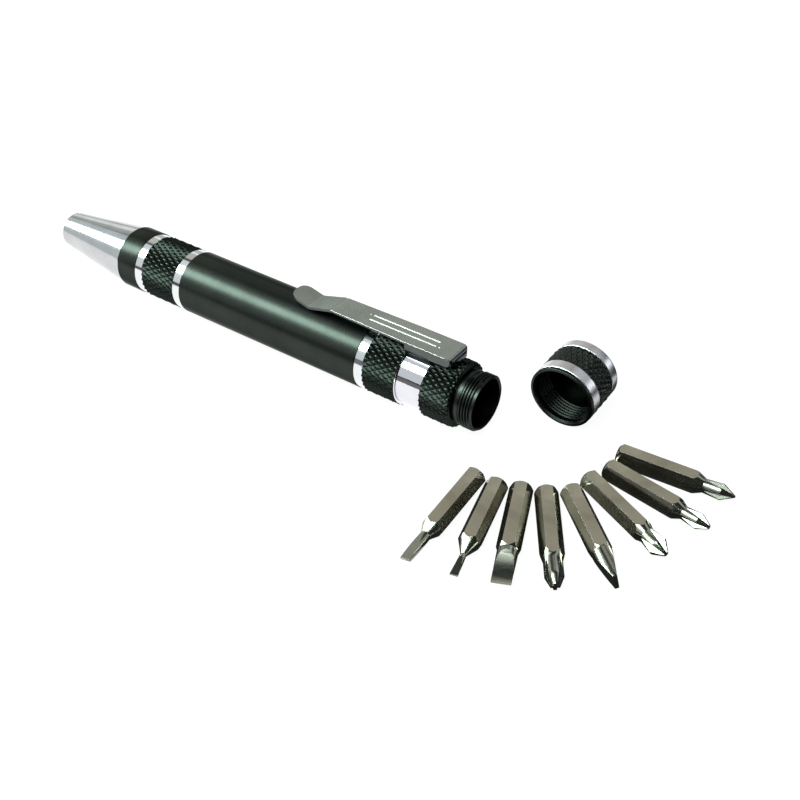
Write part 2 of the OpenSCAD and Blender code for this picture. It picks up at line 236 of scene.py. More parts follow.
# The dye cut away again with a diamond tool: bare, bright aluminium
DIAMOND_CUT = Metal("diamond_cut_aluminium", "#eceeee", "#e2e5e6", (0.09, 0.16), Grain.TURNED, 0.08, 0.08)
# The cap's two bare bands, brushed round: softer than the diamond-cut rings
BRUSHED_BAND = Metal("brushed_bare_band", "#e2e0e4", "#d6d4d9", (0.24, 0.34), Grain.TURNED, 0.1, 0.2)
# Turned nose without anodising: fine rings from the tool's feed
TURNED_NOSE = Metal("turned_bare_aluminium", "#cccecf", "#c0c2c4", (0.12, 0.17), Grain.TURNED, 0.1, 0.08)
# Chromed spring steel, mirror bright
CHROMED = Metal("chromed_spring_steel", "#e4e4ea", "#dcdce4", (0.04, 0.09), Grain.BLASTED, 0.5, 0.03)
# Satin nickel on the faces of strap and lip: an even grey without a grain that shows
SATIN_STRAP = Metal("satin_nickel_strap", "#aeb5b0", "#9fa7a1", (0.24, 0.3), Grain.BLASTED, 0.1, 0.12)
# The same satin on the slope down to the lip, brushed across and so a little darker
SATIN_SLOPE = Metal("satin_nickel_slope", "#8d9690", "#7f8882", (0.24, 0.3), Grain.CROSS_GROUND, 0.1, 0.12)
# Broken edges of the strap, near white as a painted highlight along them
EDGE_HIGHLIGHT = Metal("painted_highlight_strap_edge", "#eceeec", "#dfe1df", (0.4, 0.5), Grain.DRAWN, 0.1, 0.05)
# Painted highlight lines in the satin, soft enough to come out white from every side
HIGHLIGHT_LINE = Metal("painted_highlight_line", "#fafaf8", "#f4f4f2", (0.5, 0.6), Grain.BLASTED, 0.3, 0.03)
# Sheared sides of the sheet, duller than its plated faces and darker as painted shade under the strap's
# edge
SHADED_SHEET_SIDE = Metal("painted_shade_sheet_side", "#636866", "#585d5b", (0.25, 0.34), Grain.DRAWN, 0.1, 0.12)
# The same sheet in the cheeks and the turned-down end, dark and glossy as painted shade and a painted dark
# reflection
SHADED_CHEEK = Metal("painted_shade_cheek", "#4a4b4e", "#404144", (0.12, 0.2), Grain.DRAWN, 0.12, 0.06)
# Nickel-plated tool steel of the shanks: a fine speckle over a dull mirror, so that flats show plain tones
BIT_SHANK = Metal("satin_nickel_shank", "#cac7b8", "#aeaa9b", (0.09, 0.16), Grain.BLASTED, 0.24, 0.14)
# The same steel where the tips are ground, with the wheel's marks across them
BIT_TIP = Metal("ground_steel_tip", "#b8b8ac", "#a4a498", (0.15, 0.22), Grain.CROSS_GROUND, 0.12, 0.05)
# Sintered magnet in its nickel skin
MAGNET_SKIN = Metal("nickel_skin", "#b8b9bb", "#aaabad", (0.2, 0.3), Grain.BLASTED, 0.2, 0.1)


def select_only(piece: bpy.types.Object) -> None:
    """Selects one object and makes it the active one.

    Args:
        piece: the object.
    """
    bpy.ops.object.select_all(action="DESELECT")
    piece.select_set(True)
    bpy.context.view_layer.objects.active = piece


@contextmanager
def editing(piece: bpy.types.Object) -> Iterator[None]:
    """Opens a piece in edit mode with nothing selected, and leaves edit mode at the end.

    Args:
        piece: the piece.

    Returns:
        A context for a with statement.
    """
    select_only(piece)
    bpy.ops.object.mode_set(mode="EDIT")
    bpy.ops.mesh.select_all(action="DESELECT")
    try:
        yield
    finally:
        bpy.ops.object.mode_set(mode="OBJECT")


def pick(piece: bpy.types.Object, kind: str, wanted: Callable[[Any], bool]) -> None:
    """Selects elements of the piece in edit mode, and nothing else.

    Args:
        piece: the object in edit mode.
        kind: verts, edges or faces.
        wanted: test that says which elements to select.
    """
    bpy.ops.mesh.select_mode(type={"verts": "VERT", "edges": "EDGE", "faces": "FACE"}[kind])
    bpy.ops.mesh.select_all(action="DESELECT")
    mesh = bmesh.from_edit_mesh(piece.data)
    for element in getattr(mesh, kind):
        if wanted(element):
            element.select_set(True)
    mesh.select_flush_mode()
    bmesh.update_edit_mesh(piece.data)


def apply_modifier(piece: bpy.types.Object, kind: str, **settings: Any) -> None:
    """Adds a modifier and applies it.

    Args:
        piece: the piece that gets it.
        kind: the modifier's type name.
        settings: its settings.
    """
    select_only(piece)
    modifier = piece.modifiers.new(kind.lower(), kind)
    for key, value in settings.items():
        setattr(modifier, key, value)
    bpy.ops.object.modifier_apply(modifier=modifier.name)


def added(name: str, primitive: Callable[..., Any], **settings: Any) -> bpy.types.Object:
    """Adds a primitive with nothing else selected.

    Args:
        name: name of the new object.
        primitive: the operator that adds it.
        settings: the operator's settings.

    Returns:
        The new object.
    """
    bpy.ops.object.select_all(action="DESELECT")
    primitive(**settings)
    piece = bpy.context.object
    piece.name = name
    return piece


def turned(name: str, outline: Sequence[Point], closed: bool = True, steps: int = 144, start: float = 0.0,
           sweep: float = 360.0) -> bpy.types.Object:
    """Turns an outline about the X axis.

    Args:
        name: name of the piece.
        outline: distance along X and radius of each point, in millimetres.
        closed: whether the outline closes on itself, as a ring's does, or starts and ends on the axis.
        steps: number of steps round the circle.
        start: angle at which the turn starts, from straight up towards -Y, in degrees.
        sweep: angle that it covers; both ends are closed if it is less than a full turn.

    Returns:
        The turned piece, in millimetres.
    """
    piece = added(name, bpy.ops.mesh.primitive_circle_add, vertices=len(outline), radius=1.0,
                  fill_type="NOTHING")
    with editing(piece):
        mesh = bmesh.from_edit_mesh(piece.data)
        lean = math.radians(start)
        for vertex, (x, r) in zip(mesh.verts, outline):
            vertex.co = (x, -r * math.sin(lean), r * math.cos(lean))
        bmesh.update_edit_mesh(piece.data)
        if not closed:
            last = len(outline) - 1
            pick(piece, "edges", lambda e: {v.index for v in e.verts} == {0, last})
            bpy.ops.mesh.delete(type="EDGE")
        bpy.ops.mesh.select_all(action="SELECT")
        bpy.ops.mesh.spin(steps=steps, angle=-math.radians(sweep), center=(0, 0, 0), axis=(1, 0, 0))
        bpy.ops.mesh.select_all(action="SELECT")
        bpy.ops.mesh.remove_doubles(threshold=WELD / 2)
        if sweep < 360:
            bpy.ops.mesh.fill_holes(sides=0)
        bpy.ops.mesh.normals_make_consistent(inside=False)
    return piece


def finished(piece: bpy.types.Object, body: str, materials: Sequence[bpy.types.Material],
             place: Place = Place(), smooth: float = 32.0) -> bpy.types.Object:
    """Brings a piece to its place in metres, dresses it and lets it ride on its body.

    Args:
        piece: the piece, in millimetres along its own X axis.
        body: the body that it rides on.
        materials: its materials, in the order of its faces' indices.
        place: where its own axis lies.
        smooth: widest angle between faces that are shaded as one surface, in degrees.

    Returns:
        The finished piece.
    """
    select_only(piece)
    piece.matrix_world = Matrix.Diagonal((MM, MM, MM, 1.0)) @ place.matrix() @ piece.matrix_world
    bpy.ops.object.transform_apply(location=True, rotation=True, scale=True)
    for material in materials:
        piece.data.materials.append(material)
    bpy.ops.object.shade_smooth_by_angle(angle=math.radians(smooth))
    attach(piece, body)
    LOG.info("%s: %d faces on %s", piece.name, len(piece.data.polygons), body)
    return piece


def arc(mid: Point, radius: float, start: float, end: float, steps: int = 6) -> list[Point]:
    """Points of an arc, with its angles in degrees from the X axis towards larger radii."""
    angles = [math.radians(start + (end - start) * i / steps) for i in range(steps + 1)]
    return [(mid[0] + radius * math.cos(a), mid[1] + radius * math.sin(a)) for a in angles]


def bevelled(span: Point, foot: float, radius: float, bevel: float) -> list[Point]:
    """Draws the outline of a ring whose outer edges are bevelled.

    Args:
        span: both ends of the ring.
        foot: its inner radius.
        radius: its outer radius.
        bevel: width of its bevels.

    Returns:
        The outline's points.
    """
    low, high = span
    return [(low, foot), (low, radius - bevel), (low + bevel, radius), (high - bevel, radius),
            (high, radius - bevel), (high, foot)]


@dataclass
class Knurl:
    """A diamond knurl rolled round the X axis, as a closed sleeve.

    Attributes:
        crest_r: radius over the crests, in millimetres.
        depth: depth of the grooves.
        around: number of diamonds round the circle.
        pitch: length of a diamond along X.
        slope: width of a groove's slope, from a diamond's edge to its crest.
        lead: how far the first row starts before the sleeve, as a share of the pitch.
        inner_r: radius of the sleeve's inner side, which its core hides.
    """

    # Angles along the arc at which a rounded end is cut, in degrees
    ROUNDING: ClassVar[tuple[int, ...]] = (0, 30, 55, 75)

    crest_r: float = 7.0
    depth: float = 0.4
    around: int = 33
    pitch: float = 2.35
    slope: float = 0.43
    lead: float = 0.37
    inner_r: float = 6.0

    def sleeve(self, name: str, low: float, high: float, end_round: float = 0.0) -> bpy.types.Object:
        """Rolls the diamonds between two stations.

        Args:
            name: name of the piece.
            low: station of the end with the smaller X.
            high: station of the end with the larger X.
            end_round: radius of the rounding at the larger X.

        Returns:
            The sleeve, in millimetres.
        """
        rows = math.ceil((high - low) / self.pitch) + 2
        start = low - self.lead * self.pitch
        piece = added(name, bpy.ops.mesh.primitive_cylinder_add, vertices=self.around,
                      radius=self.crest_r - self.depth, depth=rows * self.pitch, end_fill_type="NOTHING",
                      location=(start + rows * self.pitch / 2, 0, 0), rotation=(0, math.pi / 2, 0))
        bpy.ops.object.transform_apply(location=True, rotation=True, scale=True)
        with editing(piece):
            pick(piece, "edges", lambda e: abs(e.verts[0].co.x - e.verts[1].co.x) > self.pitch / 2)
            bpy.ops.mesh.subdivide(number_cuts=rows - 1)
            bpy.ops.mesh.select_all(action="SELECT")
            bpy.ops.mesh.poke()
            rim = (self.crest_r - self.depth) * (1 + math.cos(math.pi / self.around)) / 2
            pick(piece, "edges", lambda e: not e.is_boundary
                 and all(math.hypot(v.co.y, v.co.z) > rim for v in e.verts))
            bpy.ops.mesh.dissolve_edges(use_verts=False)
            bpy.ops.mesh.select_mode(type="FACE")
            bpy.ops.mesh.select_all(action="SELECT")
            bpy.ops.mesh.inset(thickness=self.slope, depth=self.depth, use_individual=True,
                               use_even_offset=True)
            # The inset crests take the second material, a lighter painted highlight, and the flanks the
            # first, a darker painted shade
            mesh = bmesh.from_edit_mesh(piece.data)
            for face in mesh.faces:
                face.material_index = 1 if face.select else 0
            bmesh.update_edit_mesh(piece.data)
            if end_round:
                for angle in self.ROUNDING:
                    x = high - end_round * (1 - math.sin(math.radians(angle)))
                    bpy.ops.mesh.select_all(action="SELECT")
                    bpy.ops.mesh.bisect(plane_co=(x, 0, 0), plane_no=(1, 0, 0))
            for x, side in ((low, -1), (high, 1)):
                bpy.ops.mesh.select_all(action="SELECT")
                bpy.ops.mesh.bisect(plane_co=(x, 0, 0), plane_no=(side, 0, 0), clear_outer=True)
            if end_round:
                self.round_end(piece, high, end_round)
            self.close_inside(piece, low, high)
        return piece

    def round_end(self, piece: bpy.types.Object, high: float, end_round: float) -> None:
        """Draws the end with the larger X in along an arc.

        Args:
            piece: the sleeve in edit mode.
            high: station of that end.
            end_round: radius of the arc.
        """
        mesh = bmesh.from_edit_mesh(piece.data)
        for vertex in mesh.verts:
            back = vertex.co.x - (high - end_round)
            if back > 0:
                drop = end_round - math.sqrt(max(end_round**2 - back**2, 0.0))
                share = 1 - drop / self.crest_r
                vertex.co.y *= share
                vertex.co.z *= share
        bmesh.update_edit_mesh(piece.data)

    def close_inside(self, piece: bpy.types.Object, low: float, high: float) -> None:
        """Closes both ends down to a plain inner ring each, and joins the two rings.

        Args:
            piece: the sleeve in edit mode.
            low: station of the end with the smaller X.
            high: station of the other end.
        """
        slots = 2 * self.around
        pick(piece, "edges", lambda e: e.is_boundary)
        bpy.ops.mesh.extrude_edges_move()
        mesh = bmesh.from_edit_mesh(piece.data)
        for vertex in mesh.verts:
            if vertex.select:
                angle = round(math.atan2(vertex.co.z, vertex.co.y) * slots / math.tau) * math.tau / slots
                vertex.co.y = self.inner_r * math.cos(angle)
                vertex.co.z = self.inner_r * math.sin(angle)
        bmesh.update_edit_mesh(piece.data)
        bpy.ops.mesh.remove_doubles(threshold=WELD)
        pick(piece, "edges", lambda e: e.is_boundary and all(v.co.x < (low + high) / 2 for v in e.verts))
        bpy.ops.mesh.extrude_edges_move(TRANSFORM_OT_translate={"value": (high - low, 0, 0)})
        bpy.ops.mesh.select_all(action="SELECT")
        bpy.ops.mesh.remove_doubles(threshold=WELD)
        bpy.ops.mesh.normals_make_consistent(inside=False)


@dataclass
class Thread:
    """A vee thread round the X axis, as one closed ridge.

    Attributes:
        root_r: radius that the ridge stands on.
        crest_r: radius over its crest, which is the smaller one in a nut.
        pitch: distance from turn to turn.
        turns: number of turns.
        foot: half of the ridge's width at its foot, as a share of the pitch.
        flat: half of its width at the crest, likewise.
    """

    root_r: float
    crest_r: float
    pitch: float
    turns: int
    foot: float = 0.46
    flat: float = 0.09

    def ridge(self, name: str, start: float) -> bpy.types.Object:
        """Winds the ridge towards larger X.

        Args:
            name: name of the piece.
            start: station of its first turn.

        Returns:
            The ridge, in millimetres.
        """
        piece = added(name, bpy.ops.mesh.primitive_circle_add, vertices=4, radius=1.0, fill_type="NOTHING")
        foot, flat = self.foot * self.pitch, self.flat * self.pitch
        with editing(piece):
            mesh = bmesh.from_edit_mesh(piece.data)
            places = [(start - foot, self.root_r), (start - flat, self.crest_r),
                      (start + flat, self.crest_r), (start + foot, self.root_r)]
            for vertex, (x, r) in zip(mesh.verts, places):
                vertex.co = (x, 0.0, r)
            bmesh.update_edit_mesh(piece.data)
        apply_modifier(piece, "SCREW", axis="X", angle=2 * math.pi, screw_offset=self.pitch, steps=96,
                       render_steps=96, iterations=self.turns)
        with editing(piece):
            for end in (start, start + self.turns * self.pitch):
                pick(piece, "edges", lambda e, x=end: e.is_boundary
                     and all(abs(v.co.x - x) <= foot + WELD for v in e.verts))
                bpy.ops.mesh.edge_face_add()
            bpy.ops.mesh.select_all(action="SELECT")
            bpy.ops.mesh.normals_make_consistent(inside=False)
        return piece


@dataclass
class Barrel:
    """The turned tube that is the handle.

    Its sizes are in millimetres, and its stations run from the bore's mouth, at zero, back to the nose.

    Attributes:
        radius: outer radius of the collar and of the long plain stretch.
        core_r: radius of the tube under the knurls.
        bore_r: radius of the storage bore.
        bore_depth: depth of the storage bore.
        tenon_r: radius of the hole that takes the nose's tenon.
        ring_r: radius of the bright rings.
        ring_foot_r: radius that the rings reach down to, inside the tube.
        ring_bevel: width of the bevels on the rings and on the groove's walls.
        groove_r: radius at the bottom of the clip's groove.
        neck_x: station where the tail knurl begins.
        root_end: station where the thread's root ends.
        collar: both ends of the narrow collar behind it.
        collar_r: its radius.
        relief: both ends of the relief between the collar and the knurl's core.
        relief_r: its radius.
        groove: both ends of the clip's groove.
        rings: both ends of each bright ring, from the mouth to the nose.
        ring_names: names of the rings' pieces.
        front_x: station of the collar's front face.
        thread_root_r: radius that the neck's thread stands on.
        thread_r: radius over the thread.
        thread_x: station of the thread's first turn, the one farthest from the mouth.
        edge: radius of the plain stretches' rounded edges.
        tuck: how far a rounded edge reaches under the ring beside it.
        lap: how far a plain stretch reaches under the ring beside it.
        end_round: radius of the tail knurl's rounded end.
    """

    radius: float = 7.0
    core_r: float = 6.52
    bore_r: float = 5.15
    bore_depth: float = 76.0
    tenon_r: float = 4.5
    ring_r: float = 6.85
    ring_foot_r: float = 6.2
    ring_bevel: float = 0.12
    groove_r: float = 5.7
    neck_x: float = -4.65
    root_end: float = -3.2
    collar: Point = (-4.2, -3.34)
    collar_r: float = 5.75
    relief: Point = (-4.9, -4.36)
    relief_r: float = 5.45
    groove: Point = (-17.6, -11.6)
    rings: tuple[Point, ...] = ((-27.7, -25.5), (-77.6, -75.4), (-89.0, -86.8))
    ring_names: tuple[str, ...] = ("rear_cut_ring", "grip_cut_ring", "nose_cut_ring")
    front_x: float = -94.2
    thread_root_r: float = 5.56
    thread_r: float = 5.95
    thread_x: float = -2.9
    edge: float = 0.2
    tuck: float = 0.06
    lap: float = 0.1
    end_round: float = 0.9

    def tube(self) -> bpy.types.Object:
        """Turns the tube with its collar, its long plain stretch, the clip's groove and the neck.

        Returns:
            The tube, in millimetres.
        """
        r, core, edge, lap, bevel = self.radius, self.core_r, self.edge, self.lap, self.ring_bevel
        root, high = self.thread_root_r, self.collar_r
        rear, grip, nose = self.rings
        wall, shoulder = self.groove
        # The neck: a bevelled mouth, the thread's root, the collar and the relief
        outline: list[Point] = [
            (0.0, self.bore_r + 0.26), (0.0, root - 0.06), (-0.08, root), (self.root_end, root),
            (self.root_end - 0.06, high - 0.05), (self.collar[1], high), (self.collar[0], high),
            (self.collar[0] - 0.08, high - 0.05), (self.relief[1], self.relief_r),
            (self.relief[0], self.relief_r), (self.relief[0] - lap, core)]
        # The core with the clip's groove in it
        outline += [
            (shoulder - bevel, core), (shoulder, core - bevel), (shoulder, self.groove_r),
            (wall, self.groove_r), (wall, core - bevel), (wall - bevel, core)]
        # The long plain stretch
        outline += [(rear[0] + 2 * lap, core), (rear[0] + lap, core), (rear[0] + lap, r - edge)]
        outline += arc((rear[0] - self.tuck, r - edge), edge, 40, 90, 3)
        outline += arc((grip[1] + self.tuck, r - edge), edge, 90, 140, 3)
        # The core under the grip knurl, and the plain collar
        outline += [(grip[1] - lap, core), (nose[0] + lap, core), (nose[0] + lap, r - edge)]
        outline += arc((nose[0] - self.tuck, r - edge), edge, 40, 90, 3)
        outline += arc((self.front_x + edge, r - edge), edge, 90, 180, 4)
        outline += [
            (self.front_x, self.tenon_r), (-self.bore_depth, self.tenon_r), (-self.bore_depth, self.bore_r),
            (-0.3, self.bore_r)]
        return turned("barrel_tube", outline)

    def cut_ring(self, name: str, span: Point) -> bpy.types.Object:
        """Turns one bright ring with the fine bevels that the diamond tool leaves.

        Args:
            name: name of the piece.
            span: both ends of the ring.

        Returns:
            The ring, in millimetres.
        """
        return turned(name, bevelled(span, self.ring_foot_r, self.ring_r, self.ring_bevel))

    def groove_ring(self) -> bpy.types.Object:
        """Turns the bright wall of the clip's groove beside the middle knurl.

        Returns:
            The wall, as a thin ring in millimetres.
        """
        wall, foot, rim = self.groove[0], 6.0, 6.78
        return turned("groove_wall_ring", [
            (wall - 0.12, foot), (wall - 0.12, rim - 0.06), (wall - 0.06, rim), (wall, rim - 0.08),
            (wall + 0.01, foot)])

    def build(self) -> None:
        """Builds and dresses everything that is cut into the barrel."""
        dye, cut = ANODISED.material(), DIAMOND_CUT.material()
        knurled = [KNURL_GROOVE.material(), KNURL_CREST.material()]
        tube = finished(self.tube(), "driver", [dye])
        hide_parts("barrel")
        for name, span in zip(self.ring_names, self.rings):
            finished(self.cut_ring(name, span), "driver", [cut])
        finished(self.groove_ring(), "driver", [cut])
        rear, grip, nose = self.rings
        fine = Knurl(pitch=FINE_PITCH)
        for sleeve in (Knurl().sleeve("grip_knurl", nose[1], grip[0]),
                       fine.sleeve("middle_knurl", rear[1], self.groove[0] - self.lap),
                       fine.sleeve("tail_knurl", self.groove[1], self.neck_x, self.end_round)):
            finished(sleeve, "driver", knurled, smooth=KNURL_SMOOTH)
        thread = Thread(self.thread_root_r - 0.03, self.thread_r, pitch=0.64, turns=4)
        ridge = thread.ridge("neck_thread", self.thread_x)
        finished(ridge, "driver", [dye], smooth=THREAD_SMOOTH)


@dataclass
class Cap:
    """The screw cap, from its mouth along its own X axis, in millimetres.

    Attributes:
        place: where its mouth lies.
        length: its whole length.
        hole_depth: depth of its hole.
        hole_r: radius of its hole.
        mouth_r: radius of the mouth, which is opened out a little.
        mouth_flare: how deep the mouth is opened out.
        rim_r: radius of the rim's rounded edge.
        band_r: radius of the dark rim and of the closed end.
        band_foot_r: radius that the mouth band reaches down to, inside the shell.
        core_r: radius of the shell under the knurl.
        band_start: station where the mouth band starts.
        band_end: station where it ends.
        end_band: station where the bright closed end starts.
        end_round: radius of the closed end's rounded edge.
        skin: how far the shell stays inside the closed end.
        thread_x: station of the thread's first turn.
    """

    place: Place = Place((11.33, 9.2, 0.0), 90.0)
    length: float = 10.6
    hole_depth: float = 7.6
    hole_r: float = 6.0
    mouth_r: float = 6.4
    mouth_flare: float = 0.4
    rim_r: float = 0.18
    band_r: float = 6.91
    band_foot_r: float = 6.2
    core_r: float = 6.52
    band_start: float = 0.8
    band_end: float = 3.1
    end_band: float = 8.3
    end_round: float = 0.5
    skin: float = 0.4
    thread_x: float = 1.3

    def shell(self) -> bpy.types.Object:
        """Turns the dark shell with its hole, its rim and the core under the knurl.

        Returns:
            The shell, in millimetres.
        """
        back = self.length - self.skin
        outline: list[Point] = [
            (self.hole_depth, 0.0), (self.hole_depth, self.hole_r), (self.mouth_flare, self.hole_r),
            (0.0, self.mouth_r), (0.0, self.band_r - 0.2)]
        outline += arc((self.rim_r, self.band_r - self.rim_r), self.rim_r, 180, 90, 3)
        outline += [
            (self.band_start - 0.05, self.band_r), (self.band_start + 0.05, self.core_r),
            (self.end_band, self.core_r), (back, self.core_r - 0.3), (back, 0.0)]
        return turned("cap_shell", outline, closed=False)

    def mouth_band(self) -> bpy.types.Object:
        """Turns the bright band beside the mouth.

        Returns:
            The band, in millimetres.
        """
        low, high, foot, r = self.band_start, self.band_end, self.band_foot_r, self.band_r + 0.04
        return turned("cap_mouth_band", [(low, foot), (low, r - 0.07), (low + 0.08, r), (high - 0.06, r),
                                         (high, r - 0.09), (high, foot)])

    def end_band_piece(self) -> bpy.types.Object:
        """Turns the bright closed end with its rounded edge.

        Returns:
            The closed end, in millimetres.
        """
        low, high, r, bend = self.end_band, self.length, self.band_r, self.end_round
        outline: list[Point] = [(low, 0.0), (low, r - 0.1), (low + 0.1, r)]
        outline += arc((high - bend, r - bend), bend, 90, 0)
        outline += [(high - 0.06, r - 0.9), (high, r - 1.1), (high, 0.0)]
        return turned("cap_end_band", outline, closed=False)

    def build(self) -> None:
        """Builds and dresses the cap."""
        dye, brushed = ANODISED.material(self.place), BRUSHED_BAND.material(self.place)
        knurled = [CAP_GROOVE.material(self.place), CAP_CREST.material(self.place)]
        shell = finished(self.shell(), "cap", [dye], self.place)
        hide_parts("cap")
        finished(self.mouth_band(), "cap", [brushed], self.place)
        finished(self.end_band_piece(), "cap", [brushed], self.place)
        sleeve = Knurl(pitch=FINE_PITCH, inner_r=6.3).sleeve("cap_knurl", self.band_end, self.end_band)
        finished(sleeve, "cap", knurled, self.place, smooth=KNURL_SMOOTH)
        thread = Thread(self.hole_r + 0.05, self.hole_r - 0.22, pitch=0.72, turns=6)
        ridge = thread.ridge("cap_thread", self.thread_x)
        finished(ridge, "cap", [dye], self.place, smooth=THREAD_SMOOTH)


def softened_copy(node: bpy.types.Object, name: str, edge_mm: float, angle: float) -> bpy.types.Object:
    """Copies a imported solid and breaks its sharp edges.

    Args:
        node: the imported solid.
        name: name of the copy.
        edge_mm: width of the broken edges.
        angle: smallest angle between faces that counts as a sharp edge, in degrees.

    Returns:
        The copy, in metres and in place.
    """
    select_only(node)
    bpy.ops.object.duplicate(linked=False)
    piece = bpy.context.object
    piece.name = name
    piece.parent = None
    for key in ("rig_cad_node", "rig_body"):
        if key in piece:
            del piece[key]
    piece.data.materials.clear()
    with editing(piece):
        bpy.ops.mesh.select_all(action="SELECT")
        bpy.ops.mesh.remove_doubles(threshold=2 * WELD * MM)
        bpy.ops.mesh.dissolve_limited(angle_limit=math.radians(FLAT_ANGLE))
    apply_modifier(piece, "BEVEL", width=edge_mm * MM, segments=2, limit_method="ANGLE",
                   angle_limit=math.radians(angle), use_clamp_overlap=True)
    return piece


def shade_flats_flat(piece: bpy.types.Object, angle: float) -> None:
    """Shades a piece smooth, and keeps its large flat faces flat.

    Args:
        piece: the piece.
        angle: widest angle between faces that are shaded as one surface, in degrees.
    """
    select_only(piece)
    bpy.ops.object.shade_smooth_by_angle(angle=math.radians(angle))
    apply_modifier(piece, "WEIGHTED_NORMAL", weight=100, keep_sharp=True)


class ClipFinish(Enum):
    """The finishes of the clip's stamping, in the order of its material slots."""

    STRAP = SATIN_STRAP
    BAND = CHROMED
    SIDE = SHADED_SHEET_SIDE
    CHEEK = SHADED_CHEEK
    SLOPE = SATIN_SLOPE
    EDGE = EDGE_HIGHLIGHT


@dataclass
class PocketClip:
    """The one-piece clip: strap, cheeks and band come from the solid, and the painted highlight lines are
    laid on it.

    Its sizes are in millimetres, with the strap straight above the barrel's axis.

    Attributes:
        turn: how far the clip is turned about the barrel, in degrees.
        top_h: height of the strap's top above the axis.
        strap_h: least height of strap, slope and lip.
        side_h: depth of the strap's sides below its top.
        cheek_h: height where the cheeks go over into the band.
        slope_x: station between the strap and the slope that leads down to the lip.
        edge: width of the sheet's broken edges.
        sharp: smallest angle that counts as a sharp edge, in degrees.
        smooth: widest angle that is shaded as one surface, in degrees.
        skin: both ends of the band's bright skin.
        skin_foot_r: radius at the skin's inner side.
        skin_r: radius at its outer side.
        skin_bevel: width of its bevels.
        skin_gap: angle between straight up and the skin's start, on either side.
        lines: both ends of each painted highlight line, seen from above.
        dots: places of the painted highlight dots.
        line_w: width of lines and dots.
        rims: both ends of each stretch of the painted highlight along the strap's edges.
        rim_w: width of that painted highlight.
    """

    # Least parts of a face's normal by which it counts as facing upwards, backwards and sideways
    UPWARDS: ClassVar[float] = 0.3
    BACKWARDS: ClassVar[float] = 0.45
    SIDEWAYS: ClassVar[float] = 0.6
    # Part of it along X below which a face leans towards the nose, as the slope does
    LEANING: ClassVar[float] = -0.1

    turn: float = -5.0
    top_h: float = 9.6
    strap_h: float = 6.6
    side_h: float = 1.9
    cheek_h: float = 5.7
    slope_x: float = -20.0
    edge: float = 0.1
    sharp: float = 28.0
    smooth: float = 35.0
    skin: Point = (-17.5, -11.7)
    skin_foot_r: float = 6.0
    skin_r: float = 6.33
    skin_bevel: float = 0.06
    skin_gap: float = 24.0
    lines: tuple[tuple[Point, Point], ...] = (
        ((-27.6, 0.85), (-11.7, 0.85)), ((-27.6, -0.75), (-11.7, -0.75)))
    dots: tuple[Point, ...] = ((-28.5, 0.85), (-10.8, -0.75))
    line_w: float = 0.32
    rims: tuple[tuple[Point, Point], ...] = (
        ((-36.0, -2.72), (-17.6, -3.11)), ((-17.6, -3.11), (-8.2, -3.11)),
        ((-36.0, 2.72), (-17.6, 3.11)), ((-17.6, 3.11), (-8.2, 3.11)))
    rim_w: float = 0.2

    def bead(self, name: str, low: Point, high: Point, width: float, height: float) -> bpy.types.Object:
        """Lays a painted highlight line or dot on the strap.

        Args:
            name: name of the piece.
            low: its end with the smaller X, seen from above.
            high: its end with the larger X.
            width: its width.
            height: height of its middle above the axis.

        Returns:
            The bead, half as thick as it is wide, in millimetres.
        """
        piece = added(name, bpy.ops.mesh.primitive_uv_sphere_add, segments=24, ring_count=12,
                      radius=width / 2)
        with editing(piece):
            mesh = bmesh.from_edit_mesh(piece.data)
            for vertex in mesh.verts:
                end = low if vertex.co.x < 0 else high
                vertex.co = (end[0] + vertex.co.x, end[1] + vertex.co.y, height + vertex.co.z / 2)
            bmesh.update_edit_mesh(piece.data)
        piece.matrix_world = Matrix.Rotation(math.radians(self.turn), 4, "X")
        return piece

    def face_finish(self, centre: Vector, normal: Vector) -> ClipFinish:
        """Says which finish a face of the stamping has.

        Args:
            centre: the face's centre, with the strap straight above the axis.
            normal: its normal, turned likewise.

        Returns:
            The finish.
        """
        high, behind_slope = centre.z > self.strap_h, centre.x > self.slope_x
        # The turned-down end, facing backwards, takes the dark painted shade of the cheeks
        if high and normal.x > self.BACKWARDS and behind_slope:
            return ClipFinish.CHEEK
        # The broken edges between the strap's top and its sides take the painted highlight
        if high and normal.z > self.UPWARDS and abs(normal.y) > self.UPWARDS:
            return ClipFinish.EDGE
        if high and normal.z > self.UPWARDS:
            on_slope = normal.x < self.LEANING and not behind_slope
            return ClipFinish.SLOPE if on_slope else ClipFinish.STRAP
        # The strap's sides take the lighter painted shade, the cheeks under them the darker painted shade
        if abs(normal.y) > self.SIDEWAYS and centre.z > self.cheek_h:
            return ClipFinish.SIDE if centre.z > self.top_h - self.side_h else ClipFinish.CHEEK
        return ClipFinish.BAND

    def band_skin(self) -> bpy.types.Object:
        """Turns the bright skin of the open band.

        Returns:
            The skin, in millimetres.
        """
        outline = bevelled(self.skin, self.skin_foot_r, self.skin_r, self.skin_bevel)
        return turned("clip_band_skin", outline, steps=128, start=self.skin_gap + self.turn,
                      sweep=360 - 2 * self.skin_gap)

    def build(self, node: bpy.types.Object) -> None:
        """Builds and dresses the clip.

        Args:
            node: the clip's solid.
        """
        piece = softened_copy(node, "clip_stamping", self.edge, self.sharp)
        finishes = list(ClipFinish)
        for finish in finishes:
            piece.data.materials.append(finish.value.material())
        upright = Matrix.Rotation(math.radians(-self.turn), 3, "X")
        for face in piece.data.polygons:
            finish = self.face_finish(upright @ (face.center / MM), upright @ face.normal)
            face.material_index = finishes.index(finish)
        shade_flats_flat(piece, self.smooth)
        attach(piece, "clip")
        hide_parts("pocket_clip")
        LOG.info("%s: %d faces", piece.name, len(piece.data.polygons))
        finished(self.band_skin(), "clip", [CHROMED.material()])
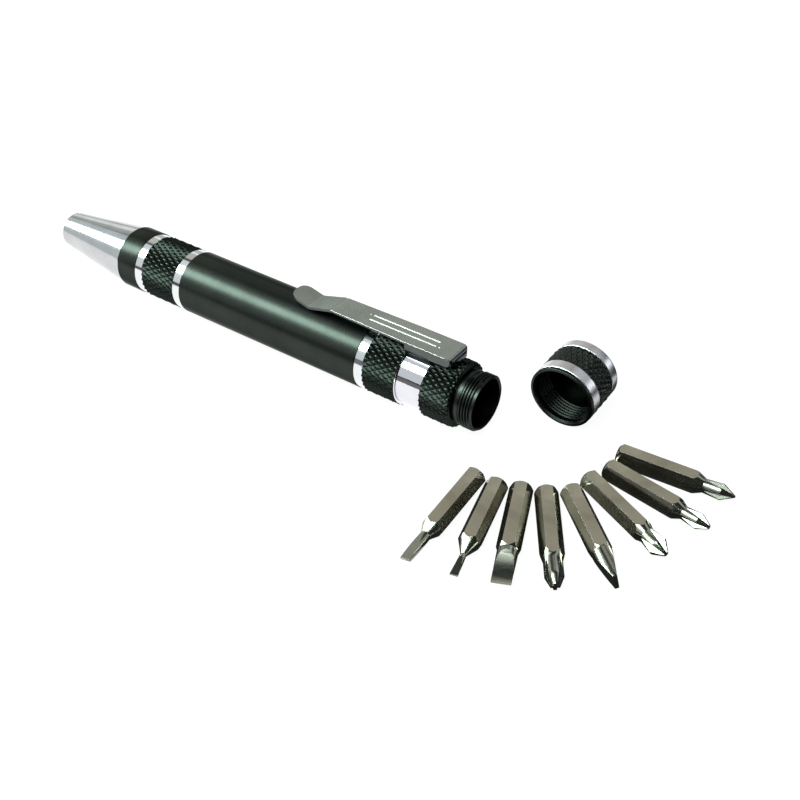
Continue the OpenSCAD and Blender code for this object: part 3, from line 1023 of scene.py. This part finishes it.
        # Painted highlight lines and dots go on the strap's top, and the painted highlight of the edges
        # along its sides
        bright, edge_highlight = HIGHLIGHT_LINE.material(), EDGE_HIGHLIGHT.material()
        spots = [(dot, dot) for dot in self.dots]
        for kind, stretches, width, drop, finish in (
                ("line", self.lines, self.line_w, 0.0, bright), ("dot", spots, self.line_w, 0.0, bright),
                ("rim", self.rims, self.rim_w, self.rim_w / 4, edge_highlight)):
            for i, (low, high) in enumerate(stretches):
                bead = self.bead(f"clip_{kind}_{i + 1}", low, high, width, self.top_h - drop)
                finished(bead, "clip", [finish])


@dataclass(frozen=True)
class Bit:
    """One bit of the fan in which the bits lie.

    Attributes:
        node: its solid.
        body: its body.
        angle: direction from the fan's centre to its rear end, in degrees.
        share: distance of its rear end from there, as a share of the fan's radius.
        heading: direction in which its tip points, in degrees.
    """

    # The fan's centre and radius, and the height of the bits' axes, in millimetres
    FAN_CENTRE: ClassVar[Point] = (10.0, 4.0)
    FAN_R: ClassVar[float] = 16.2
    AXIS_Z: ClassVar[float] = -5.0

    node: str
    body: str
    angle: float
    share: float
    heading: float

    def place(self) -> Place:
        """Returns where its rear end lies, with its own X axis along it."""
        angle, reach = math.radians(self.angle), self.FAN_R * self.share
        return Place((self.FAN_CENTRE[0] + reach * math.cos(angle),
                      self.FAN_CENTRE[1] + reach * math.sin(angle), self.AXIS_Z), self.heading)


@dataclass
class BitSet:
    """The bits, which share a shank.

    Attributes:
        shank_len: length of the shank, past which the tip is ground, in millimetres.
        slack: how far past it a face's centre lies at least to be ground, in millimetres.
        edge: width of the broken edges, in millimetres.
        sharp: smallest angle that counts as a sharp edge, in degrees.
        smooth: widest angle that is shaded as one surface, in degrees.
        bits: the bits, from left to right.
    """

    shank_len: float = 15.2
    slack: float = 0.02
    edge: float = 0.1
    sharp: float = 24.0
    smooth: float = 28.0
    bits: tuple[Bit, ...] = (
        Bit("slotted_bit_medium", "medium_slotted_bit", -102.9, 1.077, -88.2),
        Bit("slotted_bit_fine", "fine_slotted_bit", -87.6, 1.041, -76.7),
        Bit("slotted_bit_wide", "wide_slotted_bit", -71.7, 0.992, -67.4),
        Bit("cross_bit_large", "large_cross_bit", -55.6, 1.019, -55.2),
        Bit("slotted_bit_heavy", "heavy_slotted_bit", -40.2, 1.052, -40.0),
        Bit("cross_bit_medium", "medium_cross_bit", -25.0, 0.971, -23.2),
        Bit("cross_bit_small", "small_cross_bit", -8.8, 1.003, -8.2),
        Bit("cross_bit_pointed", "pointed_cross_bit", 7.5, 0.999, 3.7))

    def build(self, nodes: dict[str, bpy.types.Object]) -> None:
        """Softens and dresses every bit.

        Args:
            nodes: the solids by name.
        """
        for bit in self.bits:
            place = bit.place()
            piece = softened_copy(nodes[bit.node], bit.node + "_ground", self.edge, self.sharp)
            piece.data.materials.append(BIT_SHANK.material(place))
            piece.data.materials.append(BIT_TIP.material(place))
            own = place.matrix().inverted()
            for face in piece.data.polygons:
                along = (own @ (face.center / MM)).x
                face.material_index = 1 if along > self.shank_len + self.slack else 0
            shade_flats_flat(piece, self.smooth)
            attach(piece, bit.body)
            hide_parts(bit.node)
            LOG.info("%s: %d faces", piece.name, len(piece.data.polygons))


def paper(name: str, level: float, glow: float) -> bpy.types.Material:
    """Makes matt white paper that glows a little, so that it comes out white.

    Args:
        name: name of the material.
        level: how much of the light it throws back.
        glow: brightness of its own.

    Returns:
        The material.
    """
    white = bpy.data.materials.new(name)
    white.use_nodes = True
    shader = white.node_tree.nodes["Principled BSDF"]
    shader.inputs["Base Color"].default_value = (level, level, level, 1)
    shader.inputs["Roughness"].default_value = 1.0
    shader.inputs["Specular IOR Level"].default_value = 0.0
    shader.inputs["Emission Color"].default_value = (1, 1, 1, 1)
    shader.inputs["Emission Strength"].default_value = glow
    return white


@dataclass(frozen=True)
class Card:
    """A white card on the floor, which only polished metal sees.

    Attributes:
        name: its name.
        low: its corner with the smaller X and Y, in millimetres.
        high: the opposite corner.
        glow: its brightness.
    """

    name: str
    low: Point
    high: Point
    glow: float

    def lay(self, height: float) -> None:
        """Lays the card.

        Args:
            height: its height, in millimetres.
        """
        (left, near), (right, far) = self.low, self.high
        middle = ((left + right) / 2 * MM, (near + far) / 2 * MM, height * MM)
        card = added(self.name, bpy.ops.mesh.primitive_plane_add, size=MM, location=middle)
        card.scale = (right - left, far - near, 1.0)
        card.data.materials.append(paper(self.name, 0.0, self.glow))
        card.visible_camera = False
        card.visible_diffuse = False
        card.visible_shadow = False


@dataclass(frozen=True)
class Softbox:
    """An area light.

    Attributes:
        name: its name.
        towards: direction from the object to the light.
        distance: its distance, in millimetres.
        size: its width and height, in millimetres.
        radiance: its brightness.
        colour: its linear colour.
        aim: the point that it faces, in millimetres.
    """

    name: str
    towards: Triple
    distance: float
    size: Point
    radiance: float
    colour: Triple = (1.0, 1.0, 1.0)
    aim: Triple = (-40.0, 0.0, 0.0)

    def hang(self) -> None:
        """Hangs the light in its place, with its width level."""
        light = added(self.name, bpy.ops.object.light_add, type="AREA")
        width, height = self.size
        light.data.shape = "RECTANGLE"
        light.data.size, light.data.size_y = width * MM, height * MM
        light.data.energy = self.radiance * math.pi * width * height * MM * MM
        light.data.color = self.colour
        way = Vector(self.towards).normalized()
        side = Vector((1, 0, 0))
        side = (side - side.dot(way) * way).normalized()
        turn = Matrix((side, way.cross(side), way)).transposed().to_4x4()
        light.matrix_world = Matrix.Translation((Vector(self.aim) + way * self.distance) * MM) @ turn


COOL: Triple = (0.93, 0.98, 1.0)
GREENISH: Triple = (0.8, 1.0, 0.92)
WARM: Triple = (1.0, 0.98, 0.9)
PALE_GREEN: Triple = (0.93, 1.0, 0.93)
OVER_CAP: Triple = (11.0, 15.0, 0.0)


@dataclass
class Studio:
    """The floor, the light and the camera.

    Attributes:
        eye: where the camera stands, in millimetres.
        right: direction to the right in the picture.
        look: direction in which it looks.
        lens: its focal length over a 36 mm sensor.
        floor_z: height of the table, in millimetres.
        floor_r: radius of the floor, in millimetres.
        floor_gap: how far the floor lies below the table, so that nothing cuts into it.
        card_gap: how far the cards lie below it.
        floor_level: how much of the light the floor throws back.
        floor_glow: its own brightness.
        cards: the cards under the pen, the cap and the bits.
        softboxes: the lights. The first two give the barrel its broad sheen and the bright line in it, the
            horizon the grey at its foot, the sky and the panels the tones of strap, rings, cap and nose.
        room: linear colour of the dim room.
        room_glow: its brightness.
    """

    eye: Triple = (103.1, -157.0, 173.2)
    right: Triple = (0.8126, 0.5802, -0.0556)
    look: Triple = (-0.4596, 0.5792, -0.6733)
    lens: float = 58.61
    floor_z: float = -7.0
    floor_r: float = 6000.0
    floor_gap: float = 0.02
    card_gap: float = 0.04
    floor_level: float = 0.1
    floor_glow: float = 0.95
    cards: tuple[Card, ...] = (
        Card("white_card_pen", (-400.0, -400.0), (6.0, 250.0), 1.15),
        Card("white_card_cap", (24.0, 12.0), (44.0, 34.0), 0.86),
        Card("white_card_bits", (6.0, -130.0), (130.0, -32.0), 0.6))
    softboxes: tuple[Softbox, ...] = (
        Softbox("broad_softbox", (-0.46, -0.484, 0.745), 350.0, (900.0, 490.0), 0.7, COOL),
        Softbox("strip_light", (-0.46, -0.4, 0.79), 330.0, (900.0, 115.0), 11.5, GREENISH),
        Softbox("front_horizon", (-0.42, -0.9, 0.1), 1500.0, (560.0, 360.0), 0.14),
        Softbox("back_sky", (-0.488, 0.617, 0.617), 600.0, (560.0, 344.0), 0.48, WARM, (-10.0, -10.0, 0.0)),
        Softbox("cap_panel", (0.36, 0.62, 0.7), 600.0, (520.0, 220.0), 0.7, COOL, OVER_CAP),
        Softbox("cap_low_panel", (0.72, 0.66, 0.21), 600.0, (280.0, 160.0), 2.0, COOL, OVER_CAP),
        Softbox("back_panel", (-0.45, 0.856, 0.245), 700.0, (1200.0, 340.0), 0.52),
        Softbox("nose_panel", (-0.79, 0.49, 0.36), 400.0, (170.0, 220.0), 0.5, PALE_GREEN,
                (-105.0, 0.0, 3.0)))
    room: tuple[float, float, float, float] = (0.9, 1.0, 0.95, 1.0)
    room_glow: float = 0.03

    def camera(self) -> None:
        """Sets up the camera where the photograph was taken from."""
        camera = added("Camera", bpy.ops.object.camera_add)
        look, right = Vector(self.look).normalized(), Vector(self.right)
        right = (right - right.dot(look) * look).normalized()
        up = right.cross(look)
        turn = Matrix((right, up, -look)).transposed().to_4x4()
        camera.matrix_world = Matrix.Translation(Vector(self.eye) * MM) @ turn
        camera.data.lens = self.lens
        camera.data.sensor_width = 36.0
        camera.data.clip_start = 0.01
        camera.data.clip_end = 20.0
        bpy.context.scene.camera = camera

    def floor(self) -> None:
        """Lays the white floor, which polished metal doesn't mirror: the cards do that."""
        floor = added("floor", bpy.ops.mesh.primitive_circle_add, vertices=96, radius=self.floor_r * MM,
                      fill_type="NGON", location=(0, 0, (self.floor_z - self.floor_gap) * MM))
        floor.data.materials.append(paper("white_sweep", self.floor_level, self.floor_glow))
        floor.visible_glossy = False

    def dim_room(self) -> None:
        """Sets up the room's faint light and the picture's plain tone curve."""
        world = bpy.data.worlds.new("dim_room")
        bpy.context.scene.world = world
        world.use_nodes = True
        back = world.node_tree.nodes["Background"]
        back.inputs["Color"].default_value = self.room
        back.inputs["Strength"].default_value = self.room_glow
        bpy.context.scene.view_settings.view_transform = "Standard"

    def build(self) -> None:
        """Sets up camera, floor, cards, lights and the dim room round them."""
        self.camera()
        self.floor()
        for card in self.cards:
            card.lay(self.floor_z - self.card_gap)
        for softbox in self.softboxes:
            softbox.hang()
        self.dim_room()


def main() -> None:
    """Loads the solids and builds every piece."""
    logging.basicConfig(level=logging.INFO, format="%(name)s: %(message)s")
    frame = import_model()
    nodes = frame["nodes"]
    Studio().build()
    Barrel().build()
    Cap().build()
    PocketClip().build(nodes["pocket_clip"])
    BitSet().build(nodes)
    for node, finish in (("nose_cone", TURNED_NOSE), ("bit_magnet", MAGNET_SKIN)):
        nodes[node].data.materials.clear()
        nodes[node].data.materials.append(finish.material())
        LOG.info("%s: %s", node, finish.name)


if __name__ == "__main__":
    main()
